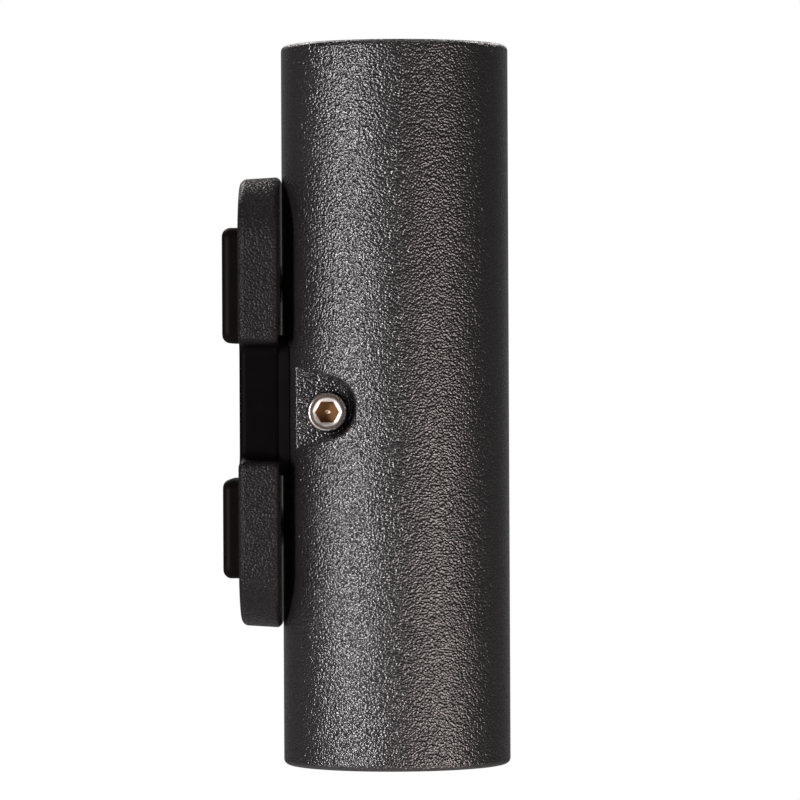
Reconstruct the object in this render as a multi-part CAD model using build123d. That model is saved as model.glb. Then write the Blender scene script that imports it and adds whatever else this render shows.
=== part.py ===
from build123d import *
from math import cos, radians, sin, sqrt, tan
import os

# Outdoor wall lamp that shines up and down. The frame has +Z up and the wall in the plane Y = 0, with the
# lamp at negative Y. A depth is a distance from the wall. The origin is midway between the two wall screws.

# Bulb, a reflector lamp with two pins
bulb_d = 50.0
bulb_length = 46.0
bulb_cap_d = 28.0
bulb_cap_height = 9.0
bulb_neck_d = 32.0
bulb_rim_height = 7.0
bulb_rim_wall = 2.2
bulb_lens_recess = 1.0
bulb_lens_thickness = 2.5
bulb_lens_seat = 1.4
bulb_dish_depth = 9.0
bulb_dish_floor_d = 15.0
bulb_source_d = 10.2
bulb_source_height = 0.6
pin_spacing = 10.0
pin_neck_d = 3.0
pin_neck_length = 3.3
pin_head_d = 5.0
pin_head_length = 4.0
bulb_twist = 25.0

# Tube of the head, round the bulbs
bulb_gap = 2.0
tube_wall = 3.0
rim_round = 1.5
rim_inner_round = 0.5
ledge_thickness = 2.0
ledge_gap = 0.6

# Stack from the middle of the tube out to its mouth
tongue_half_height = 15.0
socket_gap = 0.2
socket_wall = 2.3
bracket_gap = 0.2
bracket_thickness = 1.2
holder_height = 16.0
bulb_seat_gap = 0.1
bulb_to_glass = 1.5
glass_thickness = 3.0
gasket_lip = 1.0
ring_height = 4.0
ring_recess = 4.5

# Glass, gasket and retaining ring
sliding_gap = 0.3
thread_gap = 0.08
gasket_wall = 1.0
gasket_lip_width = 1.6
ring_width = 3.4
ring_bevel = 1.2
ring_notch_count = 4
ring_notch_width = 4.0
ring_notch_depth = 1.5
ring_notch_reach = 2.2

# Feet, from the wall out
wall_screw_spacing = 64.0
wall_screw_hole_d = 5.0
wall_screw_head_d = 10.5
wall_screw_head_depth = 4.0
foot_thickness = 4.5
foot_width = 26.0
upper_foot_height = 30.4
lower_foot_height = 26.1
foot_drop = 0.4
foot_round = 2.2
foot_corner = 3.0
foot_stud_d = 4.0
foot_stud_length = 3.0
foot_stud_spacing = 16.0
foot_stud_gap = 0.1

# Base casting
base_width = 40.0
base_height = 119.1
base_rise = 0.8
base_thickness = 10.5
base_corner = 17.0
base_draft = 3.5
base_back_round = 1.9
base_front_round = 1.2
waist_width = 26.0
waist_height = 30.0
waist_round = 2.4
head_gap = 0.3

# Tongue of the base, with the cable way through it and the cavity behind it
tongue_width = 18.0
tongue_round = 2.0
cable_way_width = 11.0
cable_way_height = 23.0
cable_way_round = 1.5
cavity_width = 20.0
cavity_height = 28.0
cavity_corner = 3.0
web_thickness = 2.5
seal_width = 3.2
seal_groove_depth = 1.5
seal_groove_gap = 0.2

# Rubber grommet in the web
grommet_bore_d = 7.5
grommet_neck_d = 9.6
grommet_flange_d = 14.0
grommet_flange_thickness = 1.5
grommet_lip_d = 10.6
grommet_lip_thickness = 1.2
grommet_gap = 0.1

# Small pan-head screws, and the boss that takes the base's earth screw
pan_head_d = 5.5
pan_head_height = 2.0
pan_head_round = 1.0
pan_shank_d = 3.0
pan_shank_length = 4.6
pan_slot_width = 0.9
pan_slot_depth = 0.8
pan_hole_gap = 0.1
earth_boss_d = 5.8
earth_boss_height = 3.0
earth_boss_rise = 10.3

# Socket of the head and its window
socket_behind_axis = 5.3
socket_end_gap = 2.0
socket_end_wall = 3.0
socket_side_wall = 3.0
window_width = 11.0
window_height = 18.0

# Side pockets of the head, D-shaped and open towards the wall
pocket_floor = 15.5
pocket_behind_axis = 18.1
pocket_drop = 0.5
pocket_radius = 7.25
pocket_flare = 20.5
pocket_draft = 6.8
pocket_wall = 2.5
pocket_round = 0.5

# Side screws with a socket head, and their sealing washers
side_screw_behind_axis = 17.3
side_screw_drop = 1.7
side_screw_d = 6.0
side_head_d = 10.2
side_head_height = 6.0
side_head_round = 0.6
side_hex_across = 5.0
side_hex_bevel = 0.4
side_hex_depth = 3.2
side_drill_d = 1.6
side_drill_depth = 0.5
washer_d = 10.8
washer_thickness = 1.0

# Lampholders on their straps
holder_d = 28.0
holder_flats = 22.0
holder_round = 1.0
holder_lip = 2.9
holder_slot_depth = 9.0
holder_pin_gap = 0.2
holder_entry_gap = 0.4
holder_screw_spacing = 21.0
bracket_width = 12.0
bracket_end_gap = 1.0
bracket_corner = 2.0
lug_height = 7.0
lug_length = 7.5
lug_screw_inset = 4.7

# Terminal block on its boss
pole_count = 3
pole_pitch = 8.0
terminal_height = 17.0
terminal_thickness = 14.0
terminal_gap = 2.5
terminal_round = 0.8
pole_groove_width = 1.2
pole_groove_depth = 2.0
wire_entry_d = 3.8
wire_entry_depth = 4.0
clamp_screw_d = 3.4
clamp_screw_length = 3.0
clamp_slot_width = 0.7
clamp_slot_depth = 0.8
clamp_well_d = 4.0
clamp_well_depth = 4.4
clamp_spacing = 10.4
fixing_head_d = 4.4
fixing_head_height = 1.6
fixing_shank_d = 2.5
fixing_depth = 6.0
terminal_boss_height = 8.0
terminal_boss_margin = 3.0

# Leads, and the tag that earths the head
lead_d = 2.2
lead_bend_share = 0.45
lead_front_of_axis = 8.4
lead_rise = 2.0
tag_thickness = 0.8
tag_eye_d = 6.4
tag_barrel_d = 3.6
tag_barrel_length = 5.0
tag_barrel_floor = 1.4
tag_reach = 5.4
tag_rise = 12.6
tag_lug_gap = 3.5
tag_lead_rise = 2.5
lead_gap = 0.05

# One overrun for every cut
overrun = 1.0

# Places worked out from the sizes above
full_turn = 360.0
bore_r = bulb_d / 2 + bulb_gap
tube_r = bore_r + tube_wall
inside_wall_r = bore_r + tube_wall / 2
base_back = foot_thickness
base_front = base_back + base_thickness
tube_back = base_front + head_gap
axis_depth = tube_back + tube_r
tube_front = axis_depth + tube_r
block_half_height = tongue_half_height + socket_gap + socket_wall
bracket_bottom = block_half_height + bracket_gap
bracket_top = bracket_bottom + bracket_thickness
holder_top = bracket_top + holder_height
bulb_bottom = holder_top + bulb_seat_gap
bulb_front = bulb_bottom + bulb_length
glass_bottom = bulb_front + bulb_to_glass
glass_top = glass_bottom + glass_thickness
ledge_top = glass_bottom - gasket_lip
ring_bottom = glass_top + gasket_lip
ring_top = ring_bottom + ring_height
tube_top = ring_top + ring_recess
gasket_r = bore_r - sliding_gap
glass_r = gasket_r - gasket_wall
ring_r = bore_r - thread_gap
ring_inner_r = ring_r - ring_width
socket_end_front = axis_depth - socket_behind_axis
socket_end = socket_end_front - socket_end_wall
tongue_tip = socket_end - socket_end_gap
socket_half_width = tongue_width / 2 + socket_gap
socket_half_height = tongue_half_height + socket_gap
terminal_back = socket_end_front + terminal_gap
terminal_front = terminal_back + terminal_thickness
terminal_depth = (terminal_back + terminal_front) / 2
side_screw_depth = axis_depth - side_screw_behind_axis
pocket_depth = axis_depth - pocket_behind_axis
wall_screw_rise = wall_screw_spacing / 2
cavity_floor = base_front - web_thickness
earth_boss_back = cavity_floor - earth_boss_height
seal_floor = base_front - seal_groove_depth
washer_top = pocket_floor + washer_thickness
side_head_top = washer_top + side_head_height
lug_screw_x = bore_r - lug_screw_inset
bracket_half_length = sqrt(bore_r**2 - (bracket_width / 2) ** 2) - bracket_end_gap
pole_offsets = [(n - (pole_count - 1) / 2) * pole_pitch for n in range(pole_count)]
fixing_offsets = [(a + b) / 2 for a, b in zip(pole_offsets, pole_offsets[1:])]
barrel_x = bore_r - lug_length - tag_lug_gap - tag_barrel_d / 2
tag_side = barrel_x - tag_reach


def place(x, depth, z):
    """A place given by its depth from the wall."""
    return Pos(x, -depth, z)


def slab(x, depths, heights):
    """A box between two values of X, two depths and two heights."""
    centre = place(sum(x) / 2, sum(depths) / 2, sum(heights) / 2)
    return centre * Box(x[1] - x[0], depths[1] - depths[0], heights[1] - heights[0])


def rounded_slab(width, height, corner, depths, z=0):
    """A bar square to the wall, with its four long edges rounded."""
    plane = Plane(origin=(0, -depths[0], z), x_dir=(1, 0, 0), z_dir=(0, -1, 0))
    return extrude(plane * RectangleRounded(width, height, corner), depths[1] - depths[0])


def rod_x(radius, x, depth, z):
    """A round rod along X."""
    return place(sum(x) / 2, depth, z) * Rot(0, 90, 0) * Cylinder(radius, x[1] - x[0])


def rod_y(radius, depths, x, z):
    """A round rod square to the wall."""
    return place(x, sum(depths) / 2, z) * Rot(90, 0, 0) * Cylinder(radius, depths[1] - depths[0])


def rod_z(radius, heights, x=0, depth=axis_depth):
    """An upright round rod, on the tube's axis unless it is given another place."""
    return place(x, depth, sum(heights) / 2) * Cylinder(radius, heights[1] - heights[0])


def turned(profile):
    """A solid of revolution about the tube's axis, from its corners as radius and height."""
    outline = Polyline([(r, 0, z) for r, z in profile], close=True)
    return place(0, axis_depth, 0) * revolve(make_face(outline), Axis.Z, full_turn)


def both_ends(shape):
    """A piece at the tube's upper end and its mirror at the lower end."""
    return {"upper": shape, "lower": mirror(shape, about=Plane.XY)}


def turned_over(shape):
    """An upper piece turned about a line through the middle of the tube, so that it points down."""
    middle = place(0, axis_depth, 0)
    return middle * Rot(180, 0, 0) * middle.inverse() * shape


def save(name, shape):
    """Write one named piece."""
    export_step(shape, f"parts/{name}.step")


# Feet


def foot(height, screw_z):
    """A rubber stand-off with a hole for its wall screw and two push studs."""
    z = screw_z - foot_drop
    pad = slab((-foot_width / 2, foot_width / 2), (0, foot_thickness), (z - height / 2, z + height / 2))
    pad = fillet(pad.edges().filter_by(Axis.Y), foot_corner)
    pad = fillet(pad.faces().sort_by(Axis.Y)[-1].edges(), foot_round)
    for x in (-foot_stud_spacing / 2, foot_stud_spacing / 2):
        pad += rod_y(foot_stud_d / 2, (foot_thickness, foot_thickness + foot_stud_length), x, screw_z)
    return pad - rod_y(wall_screw_hole_d / 2, (-overrun, foot_thickness + overrun), 0, screw_z)


# Base casting


def base_outline(depth, inset):
    """The base's outline in a plane at a depth, drawn in by its draft."""
    plane = Plane(origin=(0, -depth, base_rise), x_dir=(1, 0, 0), z_dir=(0, -1, 0))
    return plane * RectangleRounded(base_width - 2 * inset, base_height - 2 * inset, base_corner - inset)


def base_body():
    """The two blocks and the waist between them, before any hole."""
    inset = base_thickness * tan(radians(base_draft))
    body = loft([base_outline(base_front, 0), base_outline(base_back, inset)], ruled=True)
    through = (base_back - overrun, base_front + overrun)
    waist = (base_rise - waist_height / 2, base_rise + waist_height / 2)
    outside = base_width / 2 + overrun
    body -= slab((waist_width / 2, outside), through, waist)
    body -= slab((-outside, -waist_width / 2), through, waist)
    corners = [
        edge
        for edge in body.edges()
        if abs(edge.tangent_at(0.5).Y) > abs(edge.tangent_at(0.5).Z) + abs(edge.tangent_at(0.5).X)
        and min(abs(edge.center().Z - z) for z in waist) < waist_round / 2
    ]
    body = fillet(corners, waist_round)
    body = fillet(body.faces().sort_by(Axis.Y)[-1].edges(), base_back_round)
    return fillet(body.faces().sort_by(Axis.Y)[0].edges(), base_front_round)


def seal_outline(extra, depths):
    """A bar that stands out all round the tongue by some extra width."""
    width = tongue_width + 2 * extra
    height = 2 * (tongue_half_height + extra)
    return rounded_slab(width, height, tongue_round + extra, depths)


def wall_base():
    """The base casting with its tongue, cable way, cavity, screw holes and seal groove."""
    body = base_body()
    body -= seal_outline(socket_gap + seal_width + seal_groove_gap, (seal_floor, base_front + overrun))
    body -= rounded_slab(cavity_width, cavity_height, cavity_corner, (base_back - overrun, cavity_floor))
    body += seal_outline(0, (cavity_floor, tongue_tip))
    way = (base_front, tongue_tip + overrun)
    body -= rounded_slab(cable_way_width, cable_way_height, cable_way_round, way)
    body += rod_y(earth_boss_d / 2, (earth_boss_back, cavity_floor), 0, earth_boss_rise)
    screw_end = earth_boss_back + pan_shank_length + pan_hole_gap
    hole_r = pan_shank_d / 2 + pan_hole_gap
    body -= rod_y(hole_r, (earth_boss_back - overrun, screw_end), 0, earth_boss_rise)
    neck = (cavity_floor - overrun, base_front + overrun)
    body -= rod_y(grommet_neck_d / 2 + grommet_gap, neck, 0, 0)
    for z in (-wall_screw_rise, wall_screw_rise):
        body -= rod_y(wall_screw_hole_d / 2, (base_back - overrun, base_front + overrun), 0, z)
        well = (base_front - wall_screw_head_depth, base_front + overrun)
        body -= rod_y(wall_screw_head_d / 2, well, 0, z)
        for x in (-foot_stud_spacing / 2, foot_stud_spacing / 2):
            stud_end = base_back + foot_stud_length + foot_stud_gap
            body -= rod_y(foot_stud_d / 2 + foot_stud_gap, (base_back - overrun, stud_end), x, z)
    return body


def cable_grommet():
    """A rubber grommet held in the web by its flange and its lip."""
    flange_back = cavity_floor - grommet_flange_thickness
    lip_front = base_front + grommet_lip_thickness
    body = rod_y(grommet_flange_d / 2, (flange_back, cavity_floor), 0, 0)
    body += rod_y(grommet_neck_d / 2, (flange_back, lip_front), 0, 0)
    body += rod_y(grommet_lip_d / 2, (base_front, lip_front), 0, 0)
    return body - rod_y(grommet_bore_d / 2, (flange_back - overrun, lip_front + overrun), 0, 0)


def tongue_seal():
    """A rubber saddle round the tongue, between the flat base and the round tube."""
    depths = (seal_floor, axis_depth)
    ring = seal_outline(socket_gap + seal_width, depths) - seal_outline(socket_gap, depths)
    return ring - rod_z(tube_r + sliding_gap, (-tube_top, tube_top))


# Small screws


def pan_screw():
    """A slotted pan-head screw on the Z axis, with its head above the origin."""
    head = Pos(0, 0, pan_head_height / 2) * Cylinder(pan_head_d / 2, pan_head_height)
    head = fillet(head.edges().filter_by(GeomType.CIRCLE).sort_by(Axis.Z)[-1], pan_head_round)
    shank = Pos(0, 0, -pan_shank_length / 2) * Cylinder(pan_shank_d / 2, pan_shank_length)
    slot = Pos(0, 0, pan_head_height) * Box(pan_head_d, pan_slot_width, 2 * pan_slot_depth)
    return head + shank - slot


def base_earth_screw():
    """The earth screw that faces the wall, on its boss in the cavity."""
    return place(0, earth_boss_back, earth_boss_rise) * Rot(-90, 0, 0) * pan_screw()


def head_earth_screw():
    """The earth screw that holds the tag to the end wall of the socket."""
    return place(tag_side, socket_end_front + tag_thickness, tag_rise) * Rot(90, 0, 0) * pan_screw()


def bracket_screws():
    """The four screws that hold the two straps to their lugs."""
    screws = []
    for x in (-lug_screw_x, lug_screw_x):
        screw = place(x, axis_depth, bracket_top) * pan_screw()
        screws += both_ends(screw).values()
    return Compound(screws)


def holder_screws():
    """The four screws that hold the two lampholders to their straps."""
    screws = []
    for x in (-holder_screw_spacing / 2, holder_screw_spacing / 2):
        screw = place(x, axis_depth, bracket_bottom) * Rot(180, 0, 0) * pan_screw()
        screws += both_ends(screw).values()
    return Compound(screws)


# Head casting


def pocket_face(x, grow):
    """The D-shaped outline of a side pocket in a plane across X, grown outwards all round."""
    radius = pocket_radius + grow
    flare = radians(pocket_flare)
    mouth_y = overrun - tube_back
    touch_y = -pocket_depth - radius * sin(flare)
    touch_z = radius * cos(flare)
    mouth_z = touch_z + (mouth_y - touch_y) * tan(flare)
    low, high = -pocket_drop - touch_z, -pocket_drop + touch_z
    mouth_low, mouth_high = -pocket_drop - mouth_z, -pocket_drop + mouth_z
    nose = (x, -pocket_depth - radius, -pocket_drop)
    outline = [
        Line((x, mouth_y, mouth_high), (x, touch_y, high)),
        ThreePointArc((x, touch_y, high), nose, (x, touch_y, low)),
        Line((x, touch_y, low), (x, mouth_y, mouth_low)),
        Line((x, mouth_y, mouth_low), (x, mouth_y, mouth_high)),
    ]
    return make_face(outline)


def pocket_block(start, grow):
    """A drafted block with the pocket's outline, from a value of X out past the tube."""
    end = tube_r + overrun
    wider = (end - start) * tan(radians(pocket_draft))
    return loft([pocket_face(start, grow), pocket_face(end, grow + wider)], ruled=True)


def head_shell():
    """The tube with its rounded rims and the ledge inside each mouth."""
    shell = turned([(bore_r, -tube_top), (tube_r, -tube_top), (tube_r, tube_top), (bore_r, tube_top)])
    circles = shell.edges().filter_by(GeomType.CIRCLE)
    shell = fillet([edge for edge in circles if edge.radius > inside_wall_r], rim_round)
    circles = shell.edges().filter_by(GeomType.CIRCLE)
    shell = chamfer([edge for edge in circles if edge.radius < inside_wall_r], rim_inner_round)
    ledge_r = bulb_d / 2 + ledge_gap
    low = ledge_top - ledge_thickness
    ledge = turned([(ledge_r, low), (inside_wall_r, low), (inside_wall_r, ledge_top), (ledge_r, ledge_top)])
    for piece in both_ends(ledge).values():
        shell += piece
    return shell


def head_blocks():
    """What stands inside the tube: socket, pocket walls, lugs and the boss of the terminal block."""
    half_width = socket_half_width + socket_side_wall
    blocks = slab(
        (-half_width, half_width),
        (tube_back, socket_end_front),
        (-block_half_height, block_half_height),
    )
    pocket_wall_block = pocket_block(socket_half_width, pocket_wall)
    blocks += pocket_wall_block + mirror(pocket_wall_block, about=Plane.YZ)
    depths = (axis_depth - bracket_width / 2, axis_depth + bracket_width / 2)
    heights = (bracket_bottom - lug_height, bracket_bottom)
    lug = slab((bore_r - lug_length, tube_r), depths, heights)
    for piece in both_ends(lug + mirror(lug, about=Plane.YZ)).values():
        blocks += piece
    boss_half_width = fixing_offsets[-1] + terminal_boss_margin
    blocks += slab(
        (-boss_half_width, boss_half_width),
        (terminal_front, tube_front),
        (-terminal_boss_height / 2, terminal_boss_height / 2),
    )
    return blocks & rod_z(inside_wall_r, (-tube_top, tube_top))


def is_pocket_mouth(edge):
    """Whether an edge is where a side pocket meets the outside of the tube."""
    shares = (0, 1 / 4, 1 / 2, 3 / 4, 1)
    points = [edge.position_at(share) for share in shares]
    off_tube = max(abs(sqrt(p.X**2 + (p.Y + axis_depth) ** 2) - tube_r) for p in points)
    reach = max(abs(p.Z + pocket_drop) for p in points)
    least_x = min(abs(p.X) for p in points)
    near = 2 * pocket_radius
    return off_tube < pocket_round / 10 and reach < near and least_x > pocket_floor - pocket_round / 10


def head_housing():
    """The tube casting with its socket, its two side pockets and its screw holes."""
    body = head_shell() + head_blocks()
    width = 2 * socket_half_width
    height = 2 * socket_half_height
    body -= rounded_slab(width, height, tongue_round + socket_gap, (tube_back - overrun, socket_end))
    window = (socket_end - overrun, socket_end_front + overrun)
    body -= rounded_slab(window_width, window_height, cable_way_round, window)
    pocket = pocket_block(pocket_floor, 0)
    body -= pocket + mirror(pocket, about=Plane.YZ)
    body = fillet([edge for edge in body.edges() if is_pocket_mouth(edge)], pocket_round)
    body -= rod_x(side_screw_d / 2 + thread_gap, (-tube_r, tube_r), side_screw_depth, -side_screw_drop)
    hole_r = pan_shank_d / 2 + pan_hole_gap
    lug_hole = (bracket_top - pan_shank_length - pan_hole_gap, bracket_bottom + overrun)
    for x in (-lug_screw_x, lug_screw_x):
        for piece in both_ends(rod_z(hole_r, lug_hole, x)).values():
            body -= piece
    earth_end = socket_end_front + tag_thickness - pan_shank_length - pan_hole_gap
    body -= rod_y(hole_r, (earth_end, socket_end_front + overrun), tag_side, tag_rise)
    fixing = (terminal_front - overrun, terminal_front + fixing_depth + pan_hole_gap)
    for x in fixing_offsets:
        body -= rod_y(fixing_shank_d / 2 + pan_hole_gap, fixing, x, 0)
    return body


# Side screws


def side_screw():
    """The socket-head screw on the right, whose tip bears on the tongue."""
    z = -side_screw_drop
    depth = side_screw_depth
    head = rod_x(side_head_d / 2, (washer_top, side_head_top), depth, z)
    head = fillet(head.edges().filter_by(GeomType.CIRCLE).sort_by(Axis.X)[-1], side_head_round)
    shank = rod_x(side_screw_d / 2, (tongue_width / 2, washer_top), depth, z)
    face = Plane(origin=(side_head_top, -depth, z), x_dir=(0, 1, 0), z_dir=(1, 0, 0))
    hexagon = RegularPolygon(side_hex_across / 2, 6, major_radius=False)
    wide = RegularPolygon(side_hex_across / 2 + side_hex_bevel, 6, major_radius=False)
    hexagon_hole = extrude(face * hexagon, -side_hex_depth)
    bevel = loft([face * wide, face.offset(-side_hex_bevel) * hexagon], ruled=True)
    hole_bottom = side_head_top - side_hex_depth
    drill = rod_x(side_drill_d / 2, (hole_bottom - side_drill_depth, hole_bottom), depth, z)
    return head + shank - hexagon_hole - bevel - drill


def screw_seal():
    """The sealing washer under the right screw's head."""
    x = (pocket_floor, washer_top)
    ring = rod_x(washer_d / 2, x, side_screw_depth, -side_screw_drop)
    return ring - rod_x(side_screw_d / 2 + thread_gap, x, side_screw_depth, -side_screw_drop)


# Glass, gasket and ring


def glass():
    """The clear disc that closes a mouth of the tube."""
    return rod_z(glass_r, (glass_bottom, glass_top))


def gasket():
    """The rubber channel round the rim of the glass."""
    lip_r = glass_r - gasket_lip_width
    return turned(
        [
            (lip_r, ledge_top),
            (gasket_r, ledge_top),
            (gasket_r, ring_bottom),
            (lip_r, ring_bottom),
            (lip_r, glass_top),
            (glass_r, glass_top),
            (glass_r, glass_bottom),
            (lip_r, glass_bottom),
        ]
    )


def retaining_ring():
    """The threaded ring over the glass, with notches for a pin spanner."""
    ring = turned(
        [
            (ring_inner_r, ring_bottom),
            (ring_r, ring_bottom),
            (ring_r, ring_top),
            (ring_inner_r + ring_bevel, ring_top),
            (ring_inner_r, ring_top - ring_bevel),
        ]
    )
    reach = (ring_inner_r - overrun, ring_inner_r + ring_notch_reach)
    notch = Pos(sum(reach) / 2, 0, ring_top) * Box(reach[1] - reach[0], ring_notch_width, 2 * ring_notch_depth)
    for n in range(ring_notch_count):
        ring -= place(0, axis_depth, 0) * Rot(0, 0, full_turn * n / ring_notch_count) * notch
    return ring


# Bulb and lampholder


def bulb_body():
    """The bulb's cap, cone and rim, with the recess for its lens and the dish round its light source."""
    cone_bottom = bulb_bottom + bulb_cap_height
    cone_top = bulb_front - bulb_rim_height
    lens_r = bulb_d / 2 - bulb_rim_wall
    recess = bulb_front - bulb_lens_recess - bulb_lens_thickness
    dish_floor = recess - bulb_dish_depth
    source_top = dish_floor + bulb_source_height
    return turned(
        [
            (0, bulb_bottom),
            (bulb_cap_d / 2, bulb_bottom),
            (bulb_cap_d / 2, cone_bottom),
            (bulb_neck_d / 2, cone_bottom),
            (bulb_d / 2, cone_top),
            (bulb_d / 2, bulb_front),
            (lens_r, bulb_front),
            (lens_r, recess),
            (lens_r - bulb_lens_seat, recess),
            (bulb_dish_floor_d / 2, dish_floor),
            (bulb_source_d / 2, dish_floor),
            (bulb_source_d / 2, source_top),
            (0, source_top),
        ]
    )


def bulb_lens():
    """The bulb's clear front."""
    top = bulb_front - bulb_lens_recess
    return rod_z(bulb_d / 2 - bulb_rim_wall, (top - bulb_lens_thickness, top))


def bulb_pins():
    """The two headed pins under the bulb's cap."""
    pins = []
    neck_end = bulb_bottom - pin_neck_length
    for x in (-pin_spacing / 2, pin_spacing / 2):
        neck = rod_z(pin_neck_d / 2, (neck_end, bulb_bottom), x)
        pins.append(neck + rod_z(pin_head_d / 2, (neck_end - pin_head_length, neck_end), x))
    return Compound(pins)


def pin_slot(width, heights, start):
    """A slot along the pin's path as the bulb twists, on one side of the holder."""
    plane = Plane(origin=(0, -axis_depth, heights[0]))
    path = CenterArc((0, 0), pin_spacing / 2, start, bulb_twist)
    return extrude(plane * SlotArc(path, width), heights[1] - heights[0])


def lampholder():
    """The ceramic holder, with a keyhole and a chamber for each pin."""
    limits = (-holder_d / 2, holder_d / 2)
    depths = (axis_depth - holder_flats / 2, axis_depth + holder_flats / 2)
    body = rod_z(holder_d / 2, (bracket_top, holder_top))
    body &= slab(limits, depths, (bracket_top, holder_top))
    body = fillet(body.faces().sort_by(Axis.Z)[-1].edges(), holder_round)
    neck_width = pin_neck_d + 2 * holder_pin_gap
    head_width = pin_head_d + 2 * holder_pin_gap
    lip_bottom = holder_top - holder_lip
    chamber = (holder_top - holder_slot_depth, lip_bottom)
    for start in (0, full_turn / 2):
        body -= pin_slot(neck_width, (lip_bottom, holder_top + overrun), start)
        body -= pin_slot(head_width, chamber, start)
        angle = radians(start + bulb_twist)
        x, forward = pin_spacing / 2 * cos(angle), pin_spacing / 2 * sin(angle)
        entry = (lip_bottom, holder_top + overrun)
        body -= rod_z(pin_head_d / 2 + holder_entry_gap, entry, x, axis_depth - forward)
    screw_end = bracket_bottom + pan_shank_length + pan_hole_gap
    for x in (-holder_screw_spacing / 2, holder_screw_spacing / 2):
        body -= rod_z(pan_shank_d / 2 + pan_hole_gap, (bracket_top - overrun, screw_end), x)
    return body


def holder_bracket():
    """The steel strap across the tube that carries a lampholder."""
    plane = Plane(origin=(0, -axis_depth, bracket_bottom))
    strap = RectangleRounded(2 * bracket_half_length, bracket_width, bracket_corner)
    body = extrude(plane * strap, bracket_thickness)
    through = (bracket_bottom - overrun, bracket_top + overrun)
    half_spacing = holder_screw_spacing / 2
    for x in (-lug_screw_x, -half_spacing, half_spacing, lug_screw_x):
        body -= rod_z(pan_shank_d / 2 + pan_hole_gap, through, x)
    return body


# Terminal block and leads


def terminal_block():
    """The three-pole block, with clamp wells at the back and wire entries above and below."""
    half_width = pole_count * pole_pitch / 2
    half_height = terminal_height / 2
    body = slab((-half_width, half_width), (terminal_back, terminal_front), (-half_height, half_height))
    body = fillet(body.edges().filter_by(Axis.Z), terminal_round)
    groove = (terminal_back - overrun, terminal_back + pole_groove_depth)
    through = (terminal_back - overrun, terminal_front + overrun)
    for x in fixing_offsets:
        sides = (x - pole_groove_width / 2, x + pole_groove_width / 2)
        body -= slab(sides, groove, (-terminal_height, terminal_height))
        body -= rod_y(fixing_head_d / 2 + pan_hole_gap, groove, x, 0)
        body -= rod_y(fixing_shank_d / 2 + pan_hole_gap, through, x, 0)
    entry = (half_height - wire_entry_depth, half_height + overrun)
    well = (terminal_back - overrun, terminal_back + clamp_well_depth)
    for x in pole_offsets:
        for piece in both_ends(rod_z(wire_entry_d / 2, entry, x, terminal_depth)).values():
            body -= piece
        for z in (-clamp_spacing / 2, clamp_spacing / 2):
            body -= rod_y(clamp_well_d / 2, well, x, z)
    return body


def terminal_screws():
    """The clamp screws at the bottoms of their wells."""
    screws = []
    bottom = terminal_back + clamp_well_depth
    top = bottom - clamp_screw_length
    for x in pole_offsets:
        for z in (-clamp_spacing / 2, clamp_spacing / 2):
            screw = rod_y(clamp_screw_d / 2, (top, bottom), x, z)
            slot = Box(clamp_screw_d, 2 * clamp_slot_depth, clamp_slot_width)
            screws.append(screw - place(x, top, z) * slot)
    return Compound(screws)


def terminal_fixing_screws():
    """The two screws that hold the terminal block to its boss."""
    screws = []
    seat = terminal_back + pole_groove_depth
    for x in fixing_offsets:
        head = rod_y(fixing_head_d / 2, (seat - fixing_head_height, seat), x, 0)
        slot = Box(fixing_head_d, 2 * clamp_slot_depth, clamp_slot_width)
        head -= place(x, seat - fixing_head_height, 0) * slot
        screws.append(head + rod_y(fixing_shank_d / 2, (seat, terminal_front + fixing_depth), x, 0))
    return Compound(screws)


def lead(*points):
    """A round lead along straight runs joined by arcs, from points as X, depth and height."""
    route = [Vector(x, -depth, z) for x, depth, z in points]
    runs = [b - a for a, b in zip(route, route[1:])]
    radii = []
    for before, after in zip(runs, runs[1:]):
        half_bend = radians(before.get_angle(after)) / 2
        radii.append(lead_bend_share * min(before.length, after.length) / tan(half_bend))
    print("lead bends:", [round(r, 2) for r in radii])
    path = FilletPolyline(*route, radius=radii)
    section = Plane(origin=route[0], z_dir=runs[0]) * Circle(lead_d / 2)
    return sweep(section, path)


def lampholder_leads():
    """The live and neutral leads from the terminal block to the upper lampholder."""
    start = terminal_height / 2 - wire_entry_depth
    low_bend = terminal_height / 2 + lead_rise
    high_bend = bracket_bottom - lead_rise
    front = axis_depth + lead_front_of_axis
    leads = []
    for x in pole_offsets[:-1]:
        low = [(x, terminal_depth, start), (x, terminal_depth, low_bend)]
        leads.append(lead(*low, (x, front, high_bend), (x, front, bracket_top)))
    return Compound(leads)


def earth_lead():
    """The lead from the earth pole into the barrel of the tag."""
    x = pole_offsets[-1]
    start = terminal_height / 2 - wire_entry_depth
    bend = terminal_height / 2 + tag_lead_rise
    barrel_floor = socket_end_front + tag_barrel_floor
    end = (barrel_x, barrel_floor, tag_rise)
    return lead((x, terminal_depth, start), (x, terminal_depth, bend), (barrel_x, terminal_depth, tag_rise), end)


def earth_tag():
    """The crimped tag that joins the earth lead to the head casting."""
    back = socket_end_front
    front = back + tag_thickness
    eye = rod_y(tag_eye_d / 2, (back, front), tag_side, tag_rise)
    half = tag_barrel_d / 2
    arm = slab((tag_side, barrel_x), (back, front), (tag_rise - half, tag_rise + half))
    barrel = rod_y(half, (back, back + tag_barrel_length), barrel_x, tag_rise)
    body = eye + arm + barrel
    body -= rod_y(pan_shank_d / 2 + pan_hole_gap, (back - overrun, front + overrun), tag_side, tag_rise)
    inside = (back + tag_barrel_floor, back + tag_barrel_length + overrun)
    return body - rod_y(lead_d / 2 + lead_gap, inside, barrel_x, tag_rise)


os.makedirs("parts", exist_ok=True)

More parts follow.
